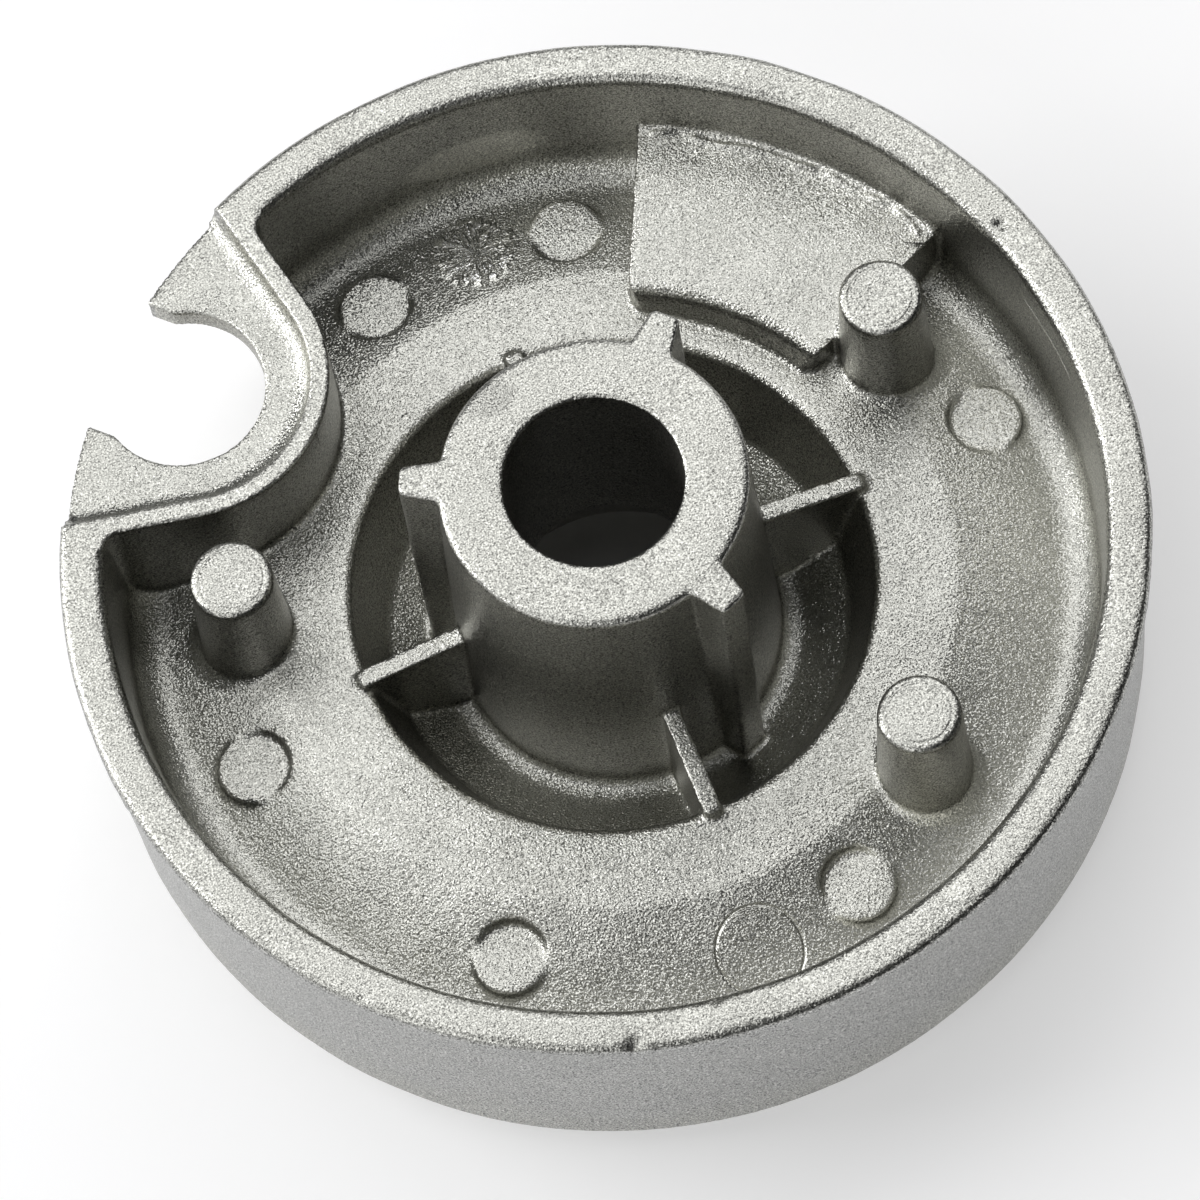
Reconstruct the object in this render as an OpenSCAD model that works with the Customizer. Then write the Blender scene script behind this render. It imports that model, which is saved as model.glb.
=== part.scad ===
// Gas burner head, one aluminium die casting, modelled upside down as it lies on a bench.
// The crown of flame ports stands on z = 0, and the side that faces the hob points up.
// All lengths are in millimetres and all angles in degrees.

/* [Rim and skirt] */
// Outer diameter of the rim
rim_d = 76; // [70:0.5:84]
// Width of the rim's top face, from the pocket's wall to the outer edge
rim_w = 3.2; // [2.6:0.1:4]
// Radius of the rim's soft edges
rim_round = 0.9; // [0.3:0.1:1.2]
// Height of the rim band above the die's parting line
band_h = 1.3; // [0.8:0.1:1.8]
// How far the skirt sits in from the rim band
parting_step = 0.45; // [0.2:0.05:0.8]
// Height of the skirt from the port shoulder to the rim's face
skirt_h = 19.3; // [17.5:0.1:22]
// How much the skirt's radius shrinks from the rim band to the port shoulder
skirt_draft = 0.45; // [0.2:0.05:0.7]

/* [Pocket] */
// Depth of the flat land below the rim's face
land_depth = 8.6; // [7.6:0.1:9.4]
// Diameter at which the land ends and the apron starts to fall
land_d = 48.4; // [46:0.2:50]
// How much the land falls from the well to the apron
land_fall = 0.4; // [0.2:0.1:0.8]
// Slope of the apron between the land and the wall
apron_slope = 17.5; // [12:0.5:20]
// Radius of the cove between the apron and the wall
cove_r = 2.2; // [1.4:0.1:2.6]
// How much the pocket's wall leans in at its foot
wall_draft = 0.8; // [0.4:0.1:1.2]

/* [Well] */
// Diameter of the well's mouth at the land
well_d = 37; // [36:0.2:39]
// Diameter at which the well's steep wall meets its coned floor
well_shelf_d = 32.8; // [31:0.2:33.6]
// Depth of that meeting line below the land
well_shelf_depth = 6.9; // [5.6:0.1:7.4]
// Depth of the gutter round the hub, below the land
well_depth = 8.9; // [8.4:0.1:9.2]
// Width of the gutter round the hub
gutter_w = 1.4; // [0.8:0.1:1.6]
// Radius of the well's soft mouth edge
well_round = 0.8; // [0.4:0.1:1.2]

/* [Hub] */
// Diameter of the hub at its top face
hub_top_d = 21.5; // [20.5:0.1:22.5]
// Growth of the hub's radius from its top face to the gutter
hub_draft = 0.8; // [0.4:0.1:1]
// How far the hub stands above the rim's face
hub_proud = 9.5; // [7:0.1:12]
// Radius of the hub's soft top edge
hub_round = 0.5; // [0.2:0.05:0.9]
// Diameter of the cast inlet bore
bore_d = 12.4; // [11.4:0.1:13]
// Depth of the cast inlet bore from the hub's top face
bore_depth = 13.8; // [10:0.2:16]
// Diameter of the turned throat below the bore
throat_d = 12.7; // [12.2:0.1:13.6]
// Length of the turned throat
throat_len = 5.4; // [3:0.1:7]
// Diameter of the bell mouth where it leaves the flame side
bell_d = 20.4; // [19:0.2:22]

/* [Keys on the hub] */
// Angles of the three keys
key_angles = [46.2, 156.1, 294.2];
// Width of a key at its tip
key_w = 2.1; // [1.6:0.1:3]
// Extra width of a key at its root, on each side
key_flare = 0.45; // [0.2:0.05:0.8]
// How far a key stands out from the hub's top face
key_reach = 2.65; // [1.6:0.05:3.2]
// How far a key's end lies below the hub's top face
key_drop = 0.05; // [0.05:0.05:0.5]
// Radius of a key's tip corners
key_round = 0.45; // [0.1:0.05:0.6]

/* [Webs across the well] */
// Number of webs
web_count = 4; // [3:1:6]
// Angle of the first web
web_angle = 0; // [-10:1:10]
// Thickness of a web
web_t = 1.35; // [1:0.05:2]
// How far a web stands above the land where it meets the hub
web_rise = 1.5; // [0.4:0.1:2.4]
// How far a web stands above the land at its outer end
web_end_rise = 0.6; // [0.3:0.05:1]
// How far a web's outer end runs past the well's mouth
web_overlap = 0.7; // [0.3:0.05:1.2]
// Radius of the soft outer end of a web
web_round = 0.5; // [0.2:0.05:0.6]

/* [Locating pegs] */
// Angles of the three pegs
peg_angles = [19.5, 164.4, 305];
// Diameter of the circle that the pegs stand on
peg_circle_d = 51.8; // [50.5:0.1:53]
// Diameter of a peg's tip
peg_tip_d = 5.9; // [4.8:0.1:6.4]
// Growth of a peg's radius from its tip to its foot
peg_draft = 0.45; // [0.3:0.05:1]
// How far the tips stand above the rim's face
peg_proud = 0.75; // [0.3:0.05:2]
// Radius of a tip's soft edge
peg_round = 0.45; // [0.2:0.05:0.7]
// Radius of the cove round a peg's foot
peg_cove_r = 2.6; // [1.6:0.1:3]

/* [Raised pad] */
// Angle of the middle of the pad
pad_angle = 45; // [42:1:48]
// Angle that the pad spans
pad_span = 39.5; // [34:0.5:44]
// Height of the pad above the land
pad_h = 2.4; // [1.8:0.1:3.2]
// Diameter of the pad's inner edge
pad_d = 42.8; // [41:0.2:44]
// How far the pad's inner face leans out at its foot
pad_draft = 0.6; // [0.2:0.05:0.8]
// Radius of the pad's soft inner edge
pad_round = 0.9; // [0.3:0.1:1.2]
// Radius of the pad's two inner corners, seen from above
pad_corner_r = 2; // [0.8:0.1:2.4]
// Radius of the cove where the pad meets the pocket's wall
pad_cove_r = 1.6; // [0.8:0.1:2]

/* [Igniter notch] */
// Angle of the notch round the head
notch_angle = 135; // [134:0.5:136]
// Distance of the notch's centre from the head's axis
notch_reach = 32.3; // [31.6:0.1:33.2]
// Radius of the notch's round end, to the ridge of its wall
notch_r = 9.1; // [8.6:0.1:9.5]
// Thickness of the notch's wall in the pocket
notch_wall = 1.45; // [1.1:0.05:1.7]
// Thickness of the notch's wall in the flame chamber
notch_flame_wall = 2.2; // [1.8:0.1:2.8]
// Angle by which each straight side of the notch leans out
notch_flare = 33.5; // [30:0.5:37]
// Depth of the electrode plate's top below the rim's face
plate_depth = 1.5; // [1:0.1:2]
// Thickness of the electrode plate
plate_t = 2.1; // [1.6:0.1:2.8]
// Radius of the cove where the plate meets the notch's wall
plate_cove_r = 1.4; // [0.6:0.1:1.7]
// Radius of the pocket's two corners where the notch's wall meets the rim
notch_corner_r = 1.3; // [0.6:0.1:1.8]
// Diameter of the electrode hole in the plate
electrode_d = 11.6; // [10.4:0.1:12.4]
// Width of the hole's mouth in the plate's outer edge
mouth_w = 10; // [8.4:0.1:10.2]

/* [Ejector marks] */
// Angles of the marks that the ejector pins left
ejector_angles = [3.5, 75.1, 105.3, 184.7, 233.3, 285.1];
// Distance of each mark's centre from the head's axis
ejector_reach = [29.1, 28.2, 28.2, 28.2, 28.2, 28.2];
// Diameter of an ejector mark
ejector_d = 5.25; // [4.6:0.05:5.8]

/* [Flame side] */
// Height of the crown of flame ports, from its tips to the skirt's shoulder
crown_h = 3.7; // [3.2:0.1:4.6]
// How far the crown sits in from the skirt's foot
shoulder_w = 1.9; // [1.2:0.1:2.4]
// Radial thickness of the crown at its tips
crown_t = 3; // [2.4:0.1:3.4]
// Thickness of the floor between the pocket and the flame chamber
floor_t = 2.7; // [2.2:0.1:3]
// How much the flame chamber's outer wall leans out towards its mouth
chamber_draft = 0.8; // [0.4:0.1:1.2]
// Distance from the crown's tips to the platform round the bell mouth
platform_depth = 3; // [2.4:0.1:3.4]
// Number of port positions round the whole crown
port_count = 30; // [24:1:32]
// Width of a flame port
port_w = 1.7; // [1.2:0.1:2.2]
// Depth of a flame port from the crown's tips
port_depth = 3.1; // [2.4:0.1:3.4]
// Angle on each side of the notch that has no port
port_gap = 25; // [24:1:28]

/* [Hidden] */
$fn = 96;
metal = "#b4b4ae";
overrun = 1;
arc_steps = 6;
notch_steps = 20;
pad_steps = 4;
cove_turn = 72;

// Heights above the crown's tips
rim_z = crown_h + skirt_h;
band_z = rim_z - band_h;
top_z = rim_z + hub_proud;
land_z = rim_z - land_depth;
apron_z = land_z - land_fall;
shelf_z = land_z - well_shelf_depth;
gutter_z = land_z - well_depth;
throat_z = top_z - bore_depth;
bell_z = throat_z - throat_len;
plate_z = rim_z - plate_depth;

// Radii from the head's axis
rim_r = rim_d / 2;
wall_top_r = rim_r - rim_w;
wall_foot_r = wall_top_r - wall_draft;
skirt_top_r = rim_r - parting_step;
skirt_foot_r = skirt_top_r - skirt_draft;
land_r = land_d / 2;
well_r = well_d / 2;
shelf_r = well_shelf_d / 2;
hub_top_r = hub_top_d / 2;
hub_foot_r = hub_top_r + hub_draft;
key_r = hub_top_r + key_reach;
crown_r = skirt_foot_r - shoulder_w;
chamber_foot_r = crown_r - crown_t;
chamber_top_r = chamber_foot_r - chamber_draft;
bell_r = bell_d / 2;
pad_r = pad_d / 2;
peg_r = peg_circle_d / 2;

// Where the apron would meet the wall and the flame chamber, without their coves
function apron_at(r) = apron_z - (r - land_r) * tan(apron_slope);
wall_foot_z = apron_at(wall_foot_r);
function ground_at(r) =
    r > land_r ? apron_at(r) : apron_z + land_fall * (land_r - r) / (land_r - well_r);
ceiling_drop = floor_t / cos(apron_slope);

// The steep wall and coned floor of the well, carried through to the flame side
steep = atan2(land_z - shelf_z, well_r - shelf_r);
gutter_r = hub_foot_r + gutter_w;
cone = atan2(shelf_z - gutter_z, shelf_r - gutter_r);
steep_shift = floor_t / sin(steep);
chamber_inner_z = apron_z - floor_t;
chamber_inner_r = well_r + steep_shift - (land_z - chamber_inner_z) / tan(steep);
platform_z = platform_depth;
platform_r = gutter_r + (platform_z - (gutter_z - floor_t / cos(cone))) / tan(cone);
platform_edge_r = shelf_r + floor_t * tan((steep + cone) / 2) / (1 + tan(cone) * tan((steep - cone) / 2));
platform_edge_z = platform_z + (platform_edge_r - platform_r) * tan(cone);

// A corner is [x, y, radius]. These turn a list of them into an outline with round corners.
function corner_at(list, i) = list[(i + len(list)) % len(list)];
function flat(p) = [p[0], p[1]];
function unit(v) = v / norm(v);
function turn_half(a, b) = acos(max(-1, min(1, unit(a) * unit(b)))) / 2;
function arc_points(before, corner, after) =
    let (to_before = flat(before) - flat(corner),
         to_after = flat(after) - flat(corner),
         half = turn_half(to_before, to_after),
         room = min(norm(to_before), norm(to_after)) * 0.49,
         reach = min(corner[2] / tan(half), room),
         r = reach * tan(half),
         middle = flat(corner) + unit(unit(to_before) + unit(to_after)) * (r / sin(half)),
         start = flat(corner) + unit(to_before) * reach - middle,
         end = flat(corner) + unit(to_after) * reach - middle,
         sweep = 180 - 2 * half,
         side = start[0] * end[1] - start[1] * end[0] > 0 ? 1 : -1)
    [for (i = [0:arc_steps])
        let (a = side * sweep * i / arc_steps)
        middle + [start[0] * cos(a) - start[1] * sin(a), start[0] * sin(a) + start[1] * cos(a)]];
function rounded(list) = [for (i = [0:len(list) - 1])
    each list[i][2] > 0
        ? arc_points(corner_at(list, i - 1), list[i], corner_at(list, i + 1))
        : [flat(list[i])]];

// The head's section from the axis outwards: hub, well, land, apron, rim, skirt, crown, chamber
section = rounded([
    [0, top_z, 0],
    [hub_top_r, top_z, hub_round],
    [hub_foot_r, gutter_z, gutter_w / 2],
    [gutter_r, gutter_z, gutter_w / 2],
    [shelf_r, shelf_z, well_round],
    [well_r, land_z, well_round],
    [land_r, apron_z, cove_r],
    [wall_foot_r, wall_foot_z, cove_r],
    [wall_top_r, rim_z, rim_round],
    [rim_r, rim_z, rim_round],
    [rim_r, band_z, 0],
    [skirt_top_r, band_z - parting_step, 0],
    [skirt_foot_r, crown_h, rim_round / 2],
    [crown_r, crown_h, 0],
    [crown_r, 0, 0],
    [chamber_foot_r, 0, 0],
    [chamber_top_r, apron_at(chamber_top_r) - ceiling_drop, cove_r],
    [land_r, apron_z - floor_t, cove_r],
    [chamber_inner_r, chamber_inner_z, well_round],
    [platform_edge_r, platform_edge_z, cove_r],
    [platform_r, platform_z, well_round],
    [0, platform_z, 0],
]);

// The same outline with neither pocket nor chamber, which clips what is built in at the notch
envelope = rounded([
    [0, rim_z, 0],
    [rim_r, rim_z, rim_round],
    [rim_r, band_z, 0],
    [skirt_top_r, band_z - parting_step, 0],
    [skirt_foot_r, crown_h, rim_round / 2],
    [crown_r, crown_h, 0],
    [crown_r, 0, 0],
    [0, 0, 0],
]);

module turned(outline) {
    rotate_extrude($fn = 180) polygon(outline);
}

// Puts a shape in the notch's own frame: x points outwards, the origin is the notch's centre
module at_notch() {
    rotate([0, 0, notch_angle]) translate([notch_reach, 0, 0]) children();
}

// Plan of the notch, grown by a wall: a round end whose sides run out past the rim
function notch_plan(wall) =
    let (r = notch_r + wall,
         side = 90 + notch_flare,
         run = rim_r * [cos(notch_flare), sin(notch_flare)],
         arc = [for (i = [0:notch_steps])
             let (a = side + (360 - 2 * side) * i / notch_steps)
             [r * cos(a), r * sin(a)]],
         last = arc[notch_steps])
    concat([arc[0] + run], arc, [[last[0] + run[0], last[1] - run[1]]]);

// Plan of the notch's wall in the pocket. Each side turns along the rim in a soft corner
function wall_plan() =
    let (r = notch_r + notch_wall,
         side = 90 + notch_flare,
         along = [cos(notch_flare), sin(notch_flare)],
         start = r * [cos(side), sin(side)] + [notch_reach, 0],
         half = start * along,
         corner = start + along * (sqrt(half * half + wall_top_r * wall_top_r - start * start) - half),
         rimward = unit([corner[1], -corner[0]]),
         bend = arc_points(
             corner - along * 2 * notch_corner_r,
             [corner[0], corner[1], notch_corner_r],
             corner - rimward * 2 * notch_corner_r),
         edge = [for (p = bend) p - [notch_reach, 0]],
         out = unit(corner) * rim_w / 2,
         leave = edge[arc_steps] + out,
         arc = [for (i = [1:notch_steps - 1])
             let (a = side + (360 - 2 * side) * i / notch_steps)
             [r * cos(a), r * sin(a)]],
         upper = concat([leave + [rim_r, 0], leave], [for (i = [arc_steps:-1:0]) edge[i]],
             [[r * cos(side), r * sin(side)]]),
         last = len(upper) - 1)
    concat(upper, arc, [for (i = [last:-1:0]) [upper[i][0], -upper[i][1]]]);

// Walls that close the pocket and the flame chamber off from the notch, with the plate between
module notch_walls() {
    intersection() {
        turned(envelope);
        at_notch() {
            translate([0, 0, shelf_z]) linear_extrude(rim_z - shelf_z) polygon(wall_plan());
            linear_extrude(apron_z - floor_t) polygon(notch_plan(notch_flame_wall));
        }
    }
}

// A solid between outlines of equal point counts, each of them level at its own height
module loft(outlines, heights) {
    n = len(outlines[0]);
    top = len(outlines) - 1;
    points = [for (k = [0:top]) for (p = outlines[k]) [p[0], p[1], heights[k]]];
    sides = [for (k = [0:top - 1]) for (i = [0:n - 1])
        [k * n + i, (k + 1) * n + i, (k + 1) * n + (i + 1) % n, k * n + (i + 1) % n]];
    bottom_face = [for (i = [0:n - 1]) i];
    top_face = [for (i = [n - 1:-1:0]) top * n + i];
    polyhedron(points, concat(sides, [bottom_face, top_face]));
}

// Room above the electrode plate, with a cove along the wall's foot
module room_above_plate() {
    bends = [for (i = [0:arc_steps]) 90 * i / arc_steps];
    outlines = [for (a = bends) notch_plan(plate_cove_r * (sin(a) - 1))];
    heights = [for (a = bends) plate_z + plate_cove_r * (1 - cos(a))];
    at_notch() loft(concat(outlines, [notch_plan(0)]), concat(heights, [rim_z + overrun]));
}

// Room below the electrode plate
module room_below_plate() {
    at_notch() translate([0, 0, -overrun])
        linear_extrude(plate_z - plate_t + overrun) polygon(notch_plan(0));
}

// Hole for the igniter electrode, open to the plate's outer edge
module electrode_hole() {
    at_notch() translate([0, 0, plate_z - plate_t - overrun]) {
        cylinder(d = electrode_d, h = plate_t + 2 * overrun);
        translate([0, -mouth_w / 2, 0]) cube([rim_r - notch_reach + overrun, mouth_w, plate_t + 2 * overrun]);
    }
}

// Cast inlet bore, turned throat and the bell mouth that spreads the gas
module gas_way() {
    translate([0, 0, throat_z]) cylinder(d = bore_d, h = bore_depth + overrun);
    translate([0, 0, bell_z - overrun]) cylinder(d = throat_d, h = throat_len + 2 * overrun);
    bell_slope = (bell_r - throat_d / 2) / (bell_z - platform_z);
    translate([0, 0, platform_z - overrun])
        cylinder(r1 = bell_r + overrun * bell_slope, r2 = throat_d / 2, h = bell_z - platform_z + overrun);
}

// A key that runs down the hub and guides it into the burner's base
module key() {
    half = key_w / 2;
    root = half + key_flare;
    hidden_r = (bore_d / 2 + hub_top_r) / 2;
    plan = rounded([
        [hidden_r, -root, 0],
        [hub_top_r, -root, key_round],
        [key_r, -half, key_round],
        [key_r, half, key_round],
        [hub_top_r, root, key_round],
        [hidden_r, root, 0],
    ]);
    translate([0, 0, gutter_z - overrun]) linear_extrude(top_z - key_drop - gutter_z + overrun) polygon(plan);
}

// A thin web that ties the hub to the land across the well
module web() {
    start_r = bore_d / 2 + hub_draft;
    end_r = well_r + web_overlap;
    side = rounded([
        [start_r, land_z + web_rise, 0],
        [hub_foot_r, land_z + web_rise, 0],
        [end_r, land_z + web_end_rise, web_round],
        [end_r, land_z - overrun, 0],
        [shelf_r + overrun, shelf_z - overrun, 0],
        [hub_foot_r, gutter_z - overrun, 0],
        [start_r, gutter_z - overrun, 0],
    ]);
    plan = rounded([
        [start_r - overrun, -web_t / 2, 0],
        [end_r, -web_t / 2, web_round],
        [end_r, web_t / 2, web_round],
        [start_r - overrun, web_t / 2, 0],
    ]);
    foot_z = gutter_z - 2 * overrun;
    // The side view gives the slope and the plan gives the round end
    intersection() {
        translate([0, web_t, 0]) rotate([90, 0, 0]) linear_extrude(2 * web_t) polygon(side);
        translate([0, 0, foot_z]) linear_extrude(top_z - foot_z) polygon(plan);
    }
}

// A tapered peg that stands in a hole of the hob's plate
module peg() {
    sunk_z = apron_at(peg_r) - floor_t / 2;
    turned(rounded([
        [0, rim_z + peg_proud, 0],
        [peg_tip_d / 2, rim_z + peg_proud, peg_round],
        [peg_tip_d / 2 + peg_draft, sunk_z, 0],
        [0, sunk_z, 0],
    ]));
}

// Cove round a peg's foot. It leans outwards, as the ground under the peg does on average
module peg_cove() {
    brim_r = (peg_tip_d + peg_cove_r) / 2;
    inner_z = ground_at(peg_r - brim_r);
    outer_z = ground_at(peg_r + brim_r);
    lean = atan2(inner_z - outer_z, 2 * brim_r);
    core_r = peg_tip_d / 2 - peg_cove_r * sin(lean);
    bends = [for (i = [0:arc_steps]) cove_turn * i / arc_steps];
    cove = [for (a = bends) [core_r + peg_cove_r * (1 - cos(a)), peg_cove_r * (1 - sin(a))]];
    brim = cove[arc_steps] + floor_t / 4 * [sin(cove_turn), -cos(cove_turn)];
    translate([0, 0, (inner_z + outer_z) / 2]) rotate([0, lean, 0])
        turned(concat([[0, peg_cove_r]], cove, [brim, [brim[0], -floor_t / 2], [0, -floor_t / 2]]));
}

// The raised pad between the pocket's wall and the well
module pad() {
    pad_z = land_z + pad_h;
    lean = wall_draft * (rim_z - pad_z) / (rim_z - wall_foot_z);
    slab = rounded([
        [pad_r, pad_z, pad_round],
        [pad_r - pad_draft, land_z, 0],
        [pad_r - pad_draft, land_z - floor_t / 2, 0],
        [wall_foot_r, wall_foot_z, 0],
        [rim_r - rim_w / 2, wall_foot_z, 0],
        [rim_r - rim_w / 2, pad_z + pad_cove_r, 0],
        [wall_top_r - lean, pad_z + pad_cove_r, 0],
        [wall_top_r - lean, pad_z, pad_cove_r],
    ]);
    // The plan clears the inner face's foot by a hair and only rounds its two corners
    half = pad_span / 2;
    inner_r = pad_r - pad_draft - pad_round / 8;
    inner = [for (i = [0:pad_steps])
        let (a = half * (2 * i / pad_steps - 1))
        [inner_r * cos(a), inner_r * sin(a), i == 0 || i == pad_steps ? pad_corner_r : 0]];
    plan = rounded(concat(
        [[rim_r * cos(half), -rim_r * sin(half), 0]], inner, [[rim_r * cos(half), rim_r * sin(half), 0]]));
    rotate([0, 0, pad_angle]) intersection() {
        turned(slab);
        translate([0, 0, shelf_z]) linear_extrude(rim_z - shelf_z) polygon(plan);
    }
}

// An ejector pin's end left a level disc: sunk in the apron's high side, proud on its low side
module ejector_discs(below, above) {
    for (i = [0:len(ejector_angles) - 1]) {
        reach = ejector_reach[i];
        rotate([0, 0, ejector_angles[i]]) translate([reach, 0, apron_at(reach) - below])
            cylinder(d = ejector_d, h = below + above);
    }
}

// Flame ports are slots across the crown, left out beside the notch
module ports() {
    pitch = 360 / port_count;
    slot_l = crown_r - chamber_top_r + 2 * overrun;
    for (i = [0:port_count - 1]) {
        away = (i + 0.5) * pitch;
        if (min(away, 360 - away) > port_gap)
            rotate([0, 0, notch_angle + away])
                translate([chamber_top_r - overrun, -port_w / 2, -overrun])
                    cube([slot_l, port_w, port_depth + overrun]);
    }
    // One more port opens into the notch, where the electrode lights the gas
    lighting_l = notch_flame_wall + 2 * overrun;
    at_notch() translate([-notch_r - notch_flame_wall - overrun, -port_w / 2, -overrun])
        cube([lighting_l, port_w, port_depth + overrun]);
}

module burner_head() {
    color(metal) difference() {
        union() {
            difference() {
                union() {
                    turned(section);
                    notch_walls();
                    for (a = key_angles) rotate([0, 0, a]) key();
                    for (i = [0:web_count - 1]) rotate([0, 0, web_angle + i * 360 / web_count]) web();
                    for (a = peg_angles) rotate([0, 0, a]) translate([peg_r, 0, 0]) {
                        peg();
                        peg_cove();
                    }
                    pad();
                }
                room_above_plate();
                room_below_plate();
                ejector_discs(0, ejector_d / 2);
            }
            ejector_discs(floor_t / 2, 0);
        }
        gas_way();
        electrode_hole();
        ports();
    }
}

burner_head();
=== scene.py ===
# %% [markdown]
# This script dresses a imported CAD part, a gas burner head, for a studio photograph.
# The head is one aluminium die casting that lies upside down on a pale floor.
# The CAD part gives every size, and the script adds what a casting has on top of it:
# soft edges, flash where the die closed, small dents, and the grain that shot blasting leaves.

import math

import bmesh
import bpy
import numpy as np
from mathutils import Matrix, Vector


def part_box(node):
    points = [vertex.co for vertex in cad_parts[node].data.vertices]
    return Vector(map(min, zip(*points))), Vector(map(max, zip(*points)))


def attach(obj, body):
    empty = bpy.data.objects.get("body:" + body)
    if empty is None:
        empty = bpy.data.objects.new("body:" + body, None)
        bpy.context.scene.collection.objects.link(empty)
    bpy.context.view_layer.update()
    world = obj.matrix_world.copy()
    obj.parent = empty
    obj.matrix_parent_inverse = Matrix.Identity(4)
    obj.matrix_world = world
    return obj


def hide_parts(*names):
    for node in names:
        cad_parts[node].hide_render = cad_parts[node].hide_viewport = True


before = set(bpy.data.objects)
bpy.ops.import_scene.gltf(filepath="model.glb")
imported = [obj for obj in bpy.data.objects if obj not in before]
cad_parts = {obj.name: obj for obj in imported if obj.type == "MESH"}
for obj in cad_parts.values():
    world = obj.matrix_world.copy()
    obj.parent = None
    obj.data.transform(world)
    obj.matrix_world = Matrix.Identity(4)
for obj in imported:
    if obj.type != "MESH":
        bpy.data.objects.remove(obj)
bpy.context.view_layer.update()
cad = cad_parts["burner_head"]
low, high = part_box("burner_head")
print("the CAD part measures", [round(1000 * v, 2) for v in high - low], "mm")

# %% [markdown]
# All lengths below are in millimetres, as in the part's source, and mm turns them into metres.
# The few sizes that the dressing needs are named once here: the heights of the rim's face, of its
# band's lower edge and of the hub's face, the rim's radius, and where the pegs, the notch and the
# pad stand. Angles are in degrees, counted from the X axis towards the Y axis. The camera's own
# angle to the Y axis is turn.

# %% Sizes of the part
mm = 0.001
rim_z, band_z, hub_z = 23.0, 21.7, 32.5
rim_r = 38.0
peg_out, pegs_at = 25.9, (19.5, 164.4, 305.0)
notch_at, pad_at = 135, 45
turn = 12.0
print("the rim's face is", rim_z, "mm above the floor")


# %% [markdown]
# Colours are written as sRGB hex codes and turned into the linear values that Blender works with.
# One small function adds a shader node, sets its options and fills or links its inputs. The names
# below it only shorten the kinds of node that come up often.

# %% Colour and nodes
def linear(code):
    """A hex colour such as 'b4b4ae' as linear red, green, blue and alpha."""
    parts = [int(code[i : i + 2], 16) / 255 for i in (0, 2, 4)]
    return [p / 12.92 if p <= 0.04045 else ((p + 0.055) / 1.055) ** 2.4 for p in parts] + [1.0]


def add_node(tree, kind, inputs=(), **options):
    """Adds a node. inputs pairs a socket's name or number with a value or another node's output."""
    node = tree.nodes.new(kind)
    for name, value in options.items():
        setattr(node, name, value)
    for name, value in dict(inputs).items():
        if isinstance(value, bpy.types.NodeSocket):
            tree.links.new(value, node.inputs[name])
        else:
            node.inputs[name].default_value = value
    return node


maths = "ShaderNodeMath"
vectors = "ShaderNodeVectorMath"
ramp = "ShaderNodeMapRange"
noise = "ShaderNodeTexNoise"
soft = "SMOOTHSTEP"
print("the metal's light tone is", [round(v, 2) for v in linear("c8c8c2")[:3]])

# %% [markdown]
# The skin of the real head is cast metal: every edge is a little round, because the melt doesn't
# fill a sharp corner, and blasting takes off what is left. Bevels would have to be set edge by
# edge. So the CAD mesh is remeshed into small even cells instead, and two rounds of smoothing
# take the same 0.2 mm or so off every edge.

# %% Cast skin
voxel = 0.21
smoothing_rounds = 2
weld_gap = 0.001
triangle_limit = 190000


def baked(thing):
    """The mesh of an object with its modifiers applied."""
    bpy.context.view_layer.update()
    graph = bpy.context.evaluated_depsgraph_get()
    return bpy.data.meshes.new_from_object(thing.evaluated_get(graph), depsgraph=graph)


def swap_mesh(thing, mesh):
    """Gives an object a new mesh and drops the modifiers that made it."""
    thing.modifiers.clear()
    thing.data = mesh


skin = cad.data.copy()
welder = bmesh.new()
welder.from_mesh(skin)
bmesh.ops.remove_doubles(welder, verts=welder.verts, dist=weld_gap * mm)
welder.to_mesh(skin)
welder.free()
casting = bpy.data.objects.new("casting", skin)
bpy.context.scene.collection.objects.link(casting)
remesh = casting.modifiers.new("skin", "REMESH")
remesh.mode = "VOXEL"
remesh.voxel_size = voxel * mm
smooth = casting.modifiers.new("soft edges", "SMOOTH")
smooth.factor = 0.5
smooth.iterations = smoothing_rounds
swap_mesh(casting, baked(casting))
print("the skin has", len(casting.data.vertices), "points")


# %% [markdown]
# The points are now moved by numpy. Each point is described by its distance from the head's axis,
# its angle and its height, so a dent or a ridge is one formula on arrays.

# %% Points as arrays
def read_points(mesh):
    """Points in millimetres and normals of a mesh."""
    count = len(mesh.vertices)
    where, facing = np.zeros(count * 3), np.zeros(count * 3)
    mesh.vertices.foreach_get("co", where)
    mesh.vertices.foreach_get("normal", facing)
    return where.reshape(-1, 3) / mm, facing.reshape(-1, 3)


def polar(where):
    """Distance from the axis and angle in degrees of each point."""
    return np.hypot(where[:, 0], where[:, 1]), np.degrees(np.arctan2(where[:, 1], where[:, 0])) % 360


def at_angle(at, reach_out, z=0):
    """The point at an angle, a distance from the axis and a height."""
    return reach_out * math.cos(math.radians(at)), reach_out * math.sin(math.radians(at)), z


points, normals = read_points(casting.data)
radius, angle = polar(points)
height = points[:, 2].copy()
print("heights run from", round(height.min(), 2), "to", round(height.max(), 2), "mm")


# %% [markdown]
# Waves of random direction and phase add up to a soft, repeatable unevenness. The skin swells by
# a few hundredths of a millimetre with them, as metal does that shrinks in a die.

# %% Soft unevenness
def waves(where, wavelength, seed, terms=14):
    """Smooth noise between about -1 and 1, from a sum of sine waves."""
    rng = np.random.default_rng(seed)
    total = np.zeros(len(where))
    for _ in range(terms):
        direction = rng.normal(size=3)
        direction *= rng.uniform(0.6, 1.4) * 2 * math.pi / wavelength / np.linalg.norm(direction)
        total += np.sin(where @ direction + rng.uniform(0, 2 * math.pi))
    return total / math.sqrt(terms)


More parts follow.
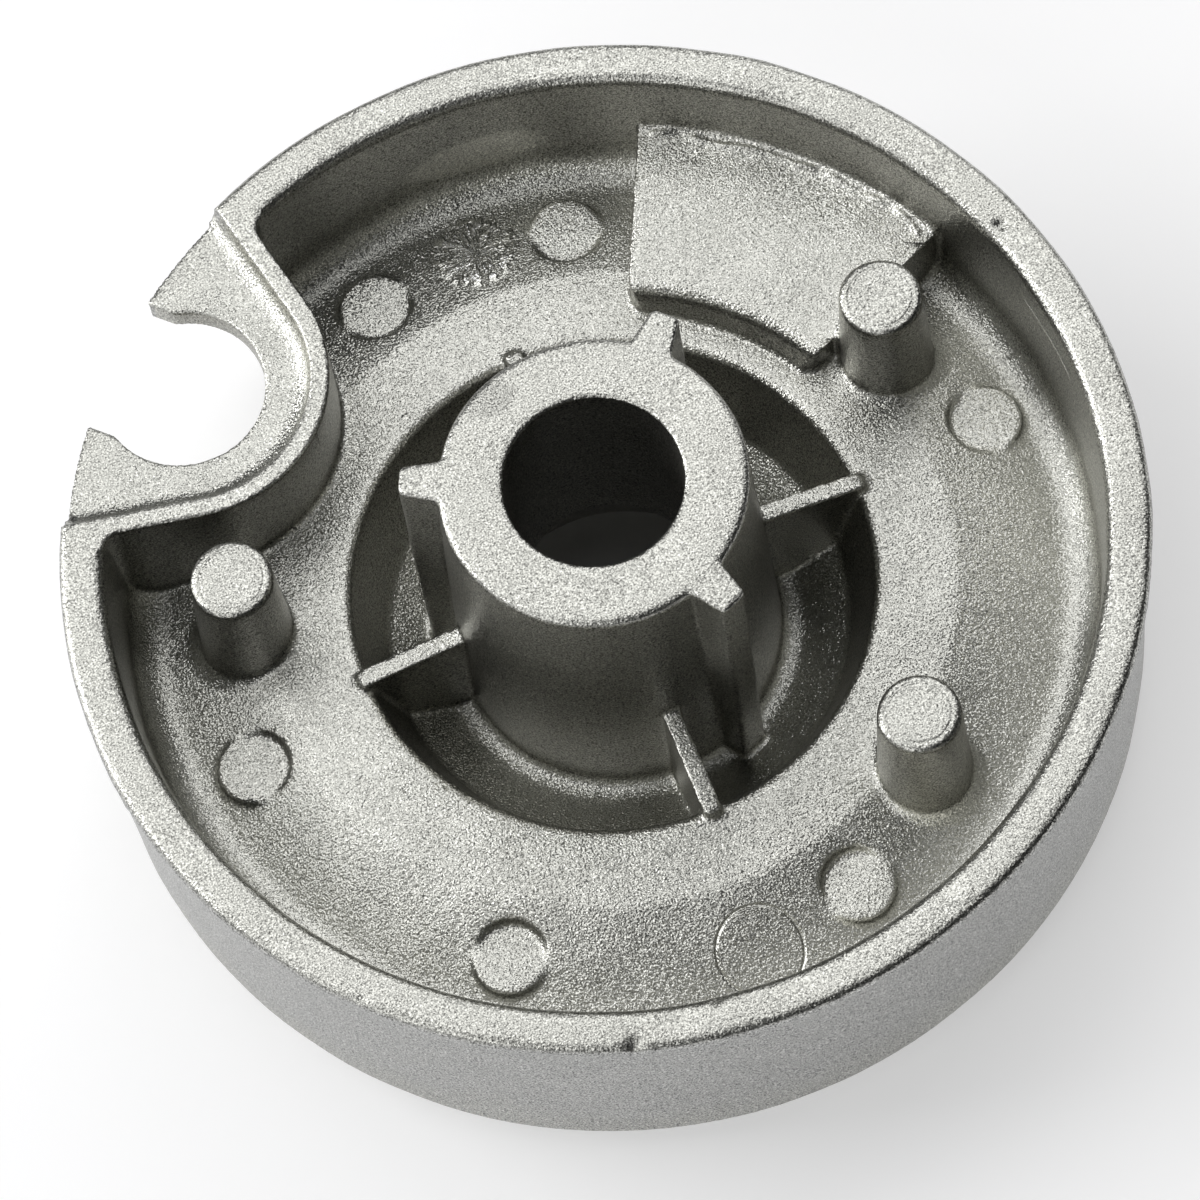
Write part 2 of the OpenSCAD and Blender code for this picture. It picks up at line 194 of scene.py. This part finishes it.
def step(value, start, end):
    """0 at start, 1 at end, smooth between them."""
    t = np.clip((value - start) / (end - start), 0, 1)
    return t * t * (3 - 2 * t)


def around(centre, a):
    """Signed difference of angles from a centre angle, between -180 and 180."""
    return (a - centre + 180) % 360 - 180


swell_h, swell_w = 0.025, 7.0
swell = swell_h * waves(points, swell_w, 3)
points += normals * (swell - swell_h)[:, None]
print("the skin swells by up to", round(float(np.abs(swell).max()), 3), "mm")

# %% [markdown]
# The die closed at the foot of the rim's band. Trimming the flash there left a ragged lip with a
# torn edge, so the band's lower edge wanders up and down and in and out by about 0.15 mm. Nicks
# from handling are round dents, each given by its angle, its distance from the axis, its width and
# its depth. The electrode plate in the notch has a clean edge.

# %% Rim marks
nicks = [
    (260.5, 35.2, 0.4, 0.2),
    (251.4, 37.5, 0.5, 0.28),
    (17.3, 35.9, 0.35, 0.3),
    (205.9, 37.5, 0.6, 0.1),
    (222.0, 37.6, 0.4, 0.1),
]
for at, reach_out, size, depth in nicks:
    away = np.linalg.norm(points - at_angle(at, reach_out, rim_z), axis=1)
    points[:, 2] -= depth * np.exp(-((away / size) ** 2))
lip_r, lip_foot, lip_head = (37.2, 37.6), (20.7, 21.2), (22.5, 21.9)
clean_half = (18, 21)
lip_rise, lip_pinch = 0.13, 0.07
at_lip = step(radius, *lip_r) * step(height, *lip_foot) * step(height, *lip_head)
at_lip *= step(np.abs(around(notch_at, angle)), *clean_half)
flat = points * [1, 1, 0]
torn = waves(flat, 1.3, 8) + 0.6 * waves(flat, 0.6, 9)
points[:, 2] -= lip_rise * at_lip * torn
pinch = 1 - lip_pinch * at_lip * np.abs(waves(flat, 2.2, 10)) / np.maximum(radius, 1)
points[:, :2] *= pinch[:, None]
print("pressed", len(nicks), "nicks into the rim")

# %% [markdown]
# Where the pad meets the pocket's wall, the die's insert left a thin torn fin. It is pulled out of
# the skin along a wandering line, and it is higher in some places than in others.

# %% Fin behind the pad
fin_r, fin_w, fin_h, wander = 33.6, 0.2, 0.3, 0.25
pad_half, fin_foot, fin_head = (18.6, 17.8), (16.4, 16.7), (18.6, 18.2)
flat = points * [1, 1, 0]
line_r = fin_r + wander * waves(flat, 6.0, 12)
on_pad = step(np.abs(around(pad_at, angle)), *pad_half)
on_pad *= step(height, *fin_foot) * step(height, *fin_head)
fin = on_pad * np.exp(-(((radius - line_r) / fin_w) ** 2))
fin *= np.clip(0.55 + 0.6 * waves(flat, 2.4, 13), 0.05, 1.2)
points += normals * (fin_h * fin)[:, None]
print("the fin is up to", round(float(fin_h * fin.max()), 2), "mm high")

# %% [markdown]
# The finished points go back into the mesh. A Decimate modifier then thins the flat stretches, so
# the piece stays light.

# %% Finished skin
points[:, 2] = np.clip(points[:, 2], 0, high.z / mm)
casting.data.vertices.foreach_set("co", (points * mm).ravel())
casting.data.update()
triangles = sum(len(p.vertices) - 2 for p in casting.data.polygons)
if triangles > triangle_limit:
    thin = casting.modifiers.new("thin", "DECIMATE")
    thin.ratio = triangle_limit / triangles
    swap_mesh(casting, baked(casting))
casting.data.polygons.foreach_set("use_smooth", [True] * len(casting.data.polygons))
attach(casting, "root")
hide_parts("burner_head")
print("the casting has", sum(len(p.vertices) - 2 for p in casting.data.polygons), "triangles")

# %% [markdown]
# Shot hits the faces that look up head on and leaves them rough. It only grazes the steep draw
# faces, which keep the smooth skin of the die. The faces of the rim and the hub were rubbed since,
# so they keep less of the roughness. The steep faces also take a darker grey, partly the die skin's
# own tone and partly painted shade, strongest inside the pocket. Each point stores how rough it is
# and how much of this grey and painted shade it takes, and the material reads both numbers.

# %% Where the shot hit
points, normals = read_points(casting.data)
radius, angle = polar(points)
height = points[:, 2]
rubbed = 0.3
level = step(np.abs(normals[:, 2]), 0.25, 0.8)
inside = step(radius, 35.7, 35.2) * step(height, rim_z - 0.3, rim_z - 1.0)
hub_top = step(height, hub_z - 0.9, hub_z - 0.4)
rough = level * (rubbed + (1 - rubbed) * inside * (1 - hub_top))
# Steep faces get a darker grey: partly the die skin's own tone, partly painted shade, full inside the
# pocket and 0.6 on the skirt.
wall_tone_and_shade = (1 - level) * (0.6 + 0.4 * step(radius, 35.6, 35.0))
for name, values in (("rough", rough), ("wall_tone_and_shade", wall_tone_and_shade)):
    layer = casting.data.attributes.new(name, "FLOAT", "POINT")
    layer.data.foreach_set("value", values)
print("half of the points are rougher than", round(float(np.median(rough)), 2))

# %% [markdown]
# The metal is bare aluminium, cast and then shot-blasted. Each shot leaves a dimple about 0.16 mm
# wide, which is a shallow bump from a noise of that width. A second noise, twice as wide, is the
# grain of the cast skin below. What the eye sees first are the torn facets between the dimples,
# about 0.1 mm wide: each tilts its own way and some send a glint to the camera. A height map gives
# wavy lines there, so the facets are a random tilt of the surface's normal instead, one noise for
# each of its three directions.

# %% Blasted grain
metal = bpy.data.materials.new("cast aluminium, shot-blasted")
metal.use_nodes = True
tree = metal.node_tree
tree.nodes.clear()
place = add_node(tree, "ShaderNodeTexCoord").outputs["Object"]
place = add_node(tree, vectors, {0: place, "Scale": 1 / mm}, operation="SCALE").outputs[0]
rough_here = add_node(tree, "ShaderNodeAttribute", attribute_name="rough").outputs["Fac"]
wall_tone_and_shade_here = add_node(tree, "ShaderNodeAttribute", attribute_name="wall_tone_and_shade").outputs["Fac"]

dimple_w = 0.16
facet_w = 0.1
grain = {"Vector": place, "Detail": 1.0, "Roughness": 0.5, "Scale": 1 / dimple_w}
dimples = add_node(tree, noise, grain).outputs[0]
skin_grain = {"Vector": place, "Detail": 1.0, "Roughness": 0.5, "Scale": 0.5 / dimple_w}
skin_grain = add_node(tree, noise, skin_grain).outputs[0]
depth = add_node(tree, ramp, {"Value": rough_here, "To Min": 0.01, "To Max": 0.035}).outputs[0]
relief = add_node(tree, maths, {0: skin_grain, 1: 0.045}, operation="MULTIPLY").outputs[0]
relief = add_node(tree, maths, {0: dimples, 1: depth, 2: relief}, operation="MULTIPLY_ADD").outputs[0]
facets = add_node(tree, noise, {"Vector": place, "Detail": 0.0, "Scale": 1 / facet_w}).outputs["Color"]
facets = add_node(tree, vectors, {0: facets, 1: (0.5, 0.5, 0.5)}, operation="SUBTRACT").outputs[0]
tilt = add_node(tree, ramp, {"Value": rough_here, "To Min": 0.28, "To Max": 1.0}).outputs[0]
facets = add_node(tree, vectors, {0: facets, "Scale": tilt}, operation="SCALE").outputs[0]
print("one dimple is", dimple_w, "mm wide and one facet", facet_w, "mm")

# %% [markdown]
# Some marks are finer than the mesh and are drawn as bump heights in millimetres. The core pins
# left a thin ring on each peg's tip, and an insert in the die left a larger ring on the apron.
# Each ring is a line at one distance from its own centre, and a minus sign sinks it.

# %% Rings from pins and inserts
tip_ring_r, half_line = 2.25, 0.18
rings = [(268.6, 28.9, 3.05, -0.10)] + [(at, peg_out, tip_ring_r, -0.03) for at in pegs_at]
flat_place = add_node(tree, vectors, {0: place, 1: (1, 1, 0)}, operation="MULTIPLY").outputs[0]
for at, reach_out, ring_r, depth in rings:
    centre = at_angle(at, reach_out)
    away = add_node(tree, vectors, {0: flat_place, 1: centre}, operation="DISTANCE").outputs["Value"]
    gap = add_node(tree, maths, {0: away, 1: ring_r}, operation="SUBTRACT").outputs[0]
    gap = add_node(tree, maths, {0: gap}, operation="ABSOLUTE").outputs[0]
    line = {"Value": gap, "From Min": half_line, "From Max": 0.0, "To Max": depth}
    line = add_node(tree, ramp, line, interpolation_type=soft).outputs[0]
    relief = add_node(tree, maths, {0: relief, 1: line}, operation="ADD").outputs[0]
print("drew", len(rings), "rings")

# %% [markdown]
# Gas trapped in the die left a patch of fine streaks on the apron that run out from one point like
# the rays of a star. A noise that changes quickly with the direction and slowly with the distance
# gives such rays. They stand up by 0.2 mm, and their crests are painted lighter, a painted glint on
# each ray.

# %% Star of streaks
star_at, star_out, star_r, star_h = 88.5, 28.4, 3.3, 0.2
many = 4.5
centre = at_angle(star_at, star_out)
from_star = add_node(tree, vectors, {0: flat_place, 1: centre}, operation="SUBTRACT").outputs[0]
star_away = add_node(tree, vectors, {0: from_star}, operation="LENGTH").outputs["Value"]
aim = add_node(tree, vectors, {0: from_star}, operation="NORMALIZE").outputs[0]
lift = add_node(tree, "ShaderNodeCombineXYZ", {"Z": star_away}).outputs[0]
ray_place = {0: aim, 1: (many, many, 0), 2: lift}
ray_place = add_node(tree, vectors, ray_place, operation="MULTIPLY_ADD").outputs[0]
rays = add_node(tree, noise, {"Vector": ray_place, "Scale": 1.1, "Detail": 1.0}).outputs[0]
crest = {"Value": rays, "From Min": 0.45, "From Max": 0.56}
crest = add_node(tree, ramp, crest, interpolation_type=soft).outputs[0]
within = {"Value": star_away, "From Min": star_r, "From Max": star_r - 0.8}
within = add_node(tree, ramp, within, interpolation_type=soft).outputs[0]
crest = add_node(tree, maths, {0: crest, 1: within}, operation="MULTIPLY").outputs[0]
relief = {0: crest, 1: star_h, 2: relief}
relief = add_node(tree, maths, relief, operation="MULTIPLY_ADD").outputs[0]
# The crests' lighter tone is a painted glint on the rays.
tone_shift = add_node(tree, maths, {0: crest, 1: 0.9}, operation="MULTIPLY").outputs[0]
print("the star is", 2 * star_r, "mm wide")

# %% [markdown]
# Every casting has a few spots that differ from the rest. Here they are a lighter, rough patch on
# the pocket's back wall, a thin raised ridge on its right wall whose lighter tone is a painted glint,
# a rubbed spot on the rim, and a pitted dark patch on the hub's face. Each is a stretched ball in
# space, given by its middle and half its size, and the last two numbers are what it adds to the
# relief and to the tone.

# %% Odd spots
spots = [
    ("lighter patch", (3.6, 34.1, 15.7), (6.0, 1.6, 2.3), 0.0, 0.5),
    # A real ridge in the relief; its lighter tone is a painted glint.
    ("ridge with painted glint", (34.4, 2.6, 19.9), (0.9, 4.2, 0.16), 0.10, 0.5),
    ("rubbed spot", (12.4, -33.6, rim_z), (1.1, 1.5, 0.6), 0.05, 0.18),
    ("pitted patch", (-4.3, 8.5, hub_z), (2.0, 1.5, 0.6), 0.0, -0.2),
]
for name, middle, half_size, rise, brighter in spots:
    offset = add_node(tree, vectors, {0: place, 1: middle}, operation="SUBTRACT").outputs[0]
    offset = add_node(tree, vectors, {0: offset, 1: half_size}, operation="DIVIDE").outputs[0]
    out = add_node(tree, vectors, {0: offset}, operation="LENGTH").outputs["Value"]
    ragged = {0: skin_grain, 1: 0.5, 2: out}
    ragged = add_node(tree, maths, ragged, operation="MULTIPLY_ADD").outputs[0]
    mask = {"Value": ragged, "From Min": 1.3, "From Max": 1.0}
    mask = add_node(tree, ramp, mask, interpolation_type=soft).outputs[0]
    relief = {0: mask, 1: rise, 2: relief}
    relief = add_node(tree, maths, relief, operation="MULTIPLY_ADD").outputs[0]
    tone_shift = {0: mask, 1: brighter, 2: tone_shift}
    tone_shift = add_node(tree, maths, tone_shift, operation="MULTIPLY_ADD").outputs[0]
print("placed", len(spots), "odd spots")

# %% [markdown]
# Under the rim's torn lip runs a thin dark line, a painted shadow of the lip's step at the parting
# of the die. It follows one height, wanders by 0.15 mm, and is fainter in some places than in others.

# %% Painted shadow under the lip
below, line_w, lip_wander = 0.38, 0.14, 0.6
up = add_node(tree, "ShaderNodeSeparateXYZ", {0: place}).outputs["Z"]
off_axis = add_node(tree, vectors, {0: flat_place}, operation="LENGTH").outputs["Value"]
lip_noise = add_node(tree, noise, {"Vector": place, "Scale": 1.2, "Detail": 2.0}).outputs[0]
lip_z = {0: lip_noise, 1: lip_wander, 2: band_z - below}
lip_z = add_node(tree, maths, lip_z, operation="MULTIPLY_ADD").outputs[0]
gap = add_node(tree, maths, {0: up, 1: lip_z}, operation="SUBTRACT").outputs[0]
gap = add_node(tree, maths, {0: gap}, operation="ABSOLUTE").outputs[0]
line = {"Value": gap, "From Min": line_w, "From Max": 0.04}
line = add_node(tree, ramp, line, interpolation_type=soft).outputs[0]
at_edge = {"Value": off_axis, "From Min": rim_r - 1.0, "From Max": rim_r - 0.8}
at_edge = add_node(tree, ramp, at_edge).outputs[0]
patchy = add_node(tree, noise, {"Vector": flat_place, "Scale": 0.25, "Detail": 1.0}).outputs[0]
patchy = {"Value": patchy, "From Min": 0.4, "From Max": 0.6, "To Min": -0.15, "To Max": -0.6}
patchy = add_node(tree, ramp, patchy).outputs[0]
line = add_node(tree, maths, {0: line, 1: at_edge}, operation="MULTIPLY").outputs[0]
# The dark line is a painted shadow under the lip.
tone_shift = {0: line, 1: patchy, 2: tone_shift}
tone_shift = add_node(tree, maths, tone_shift, operation="MULTIPLY_ADD").outputs[0]
print("the lip ends", round(rim_z - band_z, 1), "mm below the rim's face")

# %% [markdown]
# The base colour is the tone of clean cast aluminium, a warm light grey, and it drifts a little
# over the part. Pits hold a trace of dark dust, so the grain also swings the tone. Faces that the
# shot hit head on are the cleanest and a little lighter. The steep walls are greyer, partly their
# own die skin and partly painted shade that is strongest inside the pocket, and the skirt outside is
# the coolest grey. The finish has a roughness of about 0.3: the glints come from the grain, and each
# tiny facet is still fairly smooth.

# %% Tone and finish of the metal
drift_w = 4.0
drift = add_node(tree, noise, {"Vector": place, "Scale": 1 / drift_w, "Detail": 3.0}).outputs[0]
drift = add_node(tree, ramp, {"Value": drift, "From Min": 0.3, "From Max": 0.7}).outputs[0]
colour = {0: drift, 6: linear("bfbfb9"), 7: linear("c8c8c2")}
colour = add_node(tree, "ShaderNodeMix", colour, data_type="RGBA").outputs[2]
shade = {0: at_edge, 6: linear("a3a29b"), 7: linear("9c9c9d")}
shade = add_node(tree, "ShaderNodeMix", shade, data_type="RGBA").outputs[2]
# The steep walls' darker grey, partly painted shade inside the pocket.
colour = {0: wall_tone_and_shade_here, 6: colour, 7: shade}
colour = add_node(tree, "ShaderNodeMix", colour, data_type="RGBA").outputs[2]
pits = {"Vector": place, "Scale": 0.8 / facet_w, "Detail": 1.0, "Roughness": 0.5}
pits = add_node(tree, noise, pits).outputs[0]
swing = add_node(tree, ramp, {"Value": rough_here, "To Min": 3.2, "To Max": 1.1}).outputs[0]
pits = add_node(tree, maths, {0: pits, 1: 0.5}, operation="SUBTRACT").outputs[0]
pits = add_node(tree, maths, {0: pits, 1: swing, 2: tone_shift}, operation="MULTIPLY_ADD").outputs[0]
clean = {"Value": rough_here, "From Min": rubbed, "From Max": 1.0, "To Min": 0.9, "To Max": 1.0}
clean = add_node(tree, ramp, clean).outputs[0]
pits = add_node(tree, maths, {0: pits, 1: clean}, operation="ADD").outputs[0]
colour = {0: 1.0, 6: colour, 7: pits}
colour = add_node(tree, "ShaderNodeMix", colour, data_type="RGBA", blend_type="MULTIPLY").outputs[2]
roughness = add_node(tree, ramp, {"Value": rough_here, "To Min": 0.36, "To Max": 0.3}).outputs[0]
bump = add_node(tree, "ShaderNodeBump", {"Height": relief, "Distance": mm, "Strength": 1.0}).outputs[0]
facing = add_node(tree, vectors, {0: bump, 1: facets}, operation="ADD").outputs[0]
facing = add_node(tree, vectors, {0: facing}, operation="NORMALIZE").outputs[0]
finish = {"Base Color": colour, "Metallic": 1.0, "Roughness": roughness, "Normal": facing}
surface = add_node(tree, "ShaderNodeBsdfPrincipled", finish).outputs[0]
add_node(tree, "ShaderNodeOutputMaterial", {"Surface": surface})
casting.data.materials.clear()
casting.data.materials.append(metal)
print("the metal has", len(tree.nodes), "nodes")

# %% [markdown]
# The floor is a large sheet of white paper. It fills the whole picture, because the camera looks
# down. Its diffuse colour stays below white, so that it doesn't wash out the metal, and a faint
# glow that only the camera and mirror-like or clear things see lifts it to white. The glow stops
# near the head's axis, so the floor seen through the bore stays dark.

# %% Floor
sheet = bpy.data.materials.new("white paper")
sheet.use_nodes = True
tree = sheet.node_tree
paper = tree.nodes["Principled BSDF"]
paper.inputs["Base Color"].default_value = linear("cfcfd0")
paper.inputs["Roughness"].default_value = 0.6
paper.inputs["Specular IOR Level"].default_value = 0.2
path = add_node(tree, "ShaderNodeLightPath").outputs
seen = {0: path["Is Camera Ray"], 1: path["Is Glossy Ray"]}
seen = add_node(tree, maths, seen, operation="MAXIMUM").outputs[0]
seen = {0: seen, 1: path["Is Transmission Ray"]}
seen = add_node(tree, maths, seen, operation="MAXIMUM").outputs[0]
where = add_node(tree, "ShaderNodeTexCoord").outputs["Object"]
away = add_node(tree, vectors, {0: where}, operation="LENGTH").outputs["Value"]
dark_r, glow_r = 22 * mm, 27 * mm
glow = {"Value": away, "From Min": dark_r, "From Max": glow_r, "To Max": 0.45}
glow = add_node(tree, ramp, glow, interpolation_type=soft).outputs[0]
glow = add_node(tree, maths, {0: glow, 1: seen}, operation="MULTIPLY").outputs[0]
shine = add_node(tree, "ShaderNodeEmission", {"Color": linear("ffffff"), "Strength": glow}).outputs[0]
both = add_node(tree, "ShaderNodeAddShader", {0: paper.outputs[0], 1: shine}).outputs[0]
tree.links.new(both, tree.nodes["Material Output"].inputs["Surface"])
half = 1.5
floor_mesh = bpy.data.meshes.new("floor")
corners = [(-half, -half, 0), (half, -half, 0), (half, half, 0), (-half, half, 0)]
floor_mesh.from_pydata(corners, [], [(0, 1, 2, 3)])
floor_mesh.materials.append(sheet)
floor = bpy.data.objects.new("floor", floor_mesh)
bpy.context.scene.collection.objects.link(floor)
print("the floor is", 2 * half, "m wide")

# %% [markdown]
# The light comes from large soft panels, all of one size and 2 m away: a strong low one like a
# window on the left, and weaker ones above it, in front on the left, behind, overhead and behind
# on the right. Nothing shines from the camera's side and the room itself is dark, so the faces
# that are turned to the camera stay dark. Each panel has a direction, an elevation and a power in
# watts. Directions are as the picture shows them: 0 is right, 90 is away from the camera.

# %% Light
target = Vector((0, 0, rim_z * mm))
panel_distance, panel_size = 2.0, 1.4


def add_light(name, direction, elevation, power):
    """A square area light that points at the head."""
    lamp = bpy.data.lights.new(name, "AREA")
    lamp.shape = "SQUARE"
    lamp.size = panel_size
    lamp.energy = power
    a, e = math.radians(direction - turn), math.radians(elevation)
    away = Vector((math.cos(a) * math.cos(e), math.sin(a) * math.cos(e), math.sin(e)))
    thing = bpy.data.objects.new(name, lamp)
    thing.location = target + away * panel_distance
    thing.rotation_mode = "QUATERNION"
    thing.rotation_quaternion = away.to_track_quat("Z", "Y")
    bpy.context.scene.collection.objects.link(thing)


lights = [
    ("left window", 160, 25, 28.0),
    ("left panel, high", 160, 60, 7.5),
    ("front left panel", 230, 35, 10.9),
    ("back panel, high", 95, 58, 7.0),
    ("overhead panel", 95, 85, 4.0),
    ("back right panel", 60, 40, 8.5),
]
for each in lights:
    add_light(*each)
world = bpy.data.worlds.new("room")
world.use_nodes = True
room = world.node_tree.nodes["Background"]
room.inputs["Strength"].default_value = 0.0
bpy.context.scene.world = world
print("lit by", len(lights), "panels")

# %% [markdown]
# The camera stands 600 mm from the middle of the rim and looks down at 67 degrees, slightly
# rolled. Its long lens keeps the circles nearly free of perspective.

# %% Camera
camera_data = bpy.data.cameras.new("camera")
camera_data.sensor_width = 36.0
camera_data.lens = 260.12
camera_data.clip_start, camera_data.clip_end = 0.05, 10.0
elevation, roll, distance = 67.2005, -10.7122, 600.0
shift_right, shift_up = -0.2255, -4.515
turned, tipped, rolled = math.radians(-turn), math.radians(elevation), math.radians(roll)
right = Vector((math.cos(turned), math.sin(turned), 0))
level_ahead = Vector((-math.sin(turned), math.cos(turned), 0))
ahead = level_ahead * math.cos(tipped) - Vector((0, 0, math.sin(tipped)))
above = right.cross(ahead)
rolled_right = right * math.cos(rolled) + above * math.sin(rolled)
rolled_up = above * math.cos(rolled) - right * math.sin(rolled)
eye = target + (rolled_right * shift_right + rolled_up * shift_up - ahead * distance) * mm
camera = bpy.data.objects.new("camera", camera_data)
camera_axes = Matrix((rolled_right, rolled_up, -ahead)).transposed()
camera.matrix_world = Matrix.Translation(eye) @ camera_axes.to_4x4()
bpy.context.scene.collection.objects.link(camera)
bpy.context.scene.camera = camera
bpy.context.scene.view_settings.view_transform = "Standard"
print("the camera is at", [round(1000 * v) for v in eye], "mm")
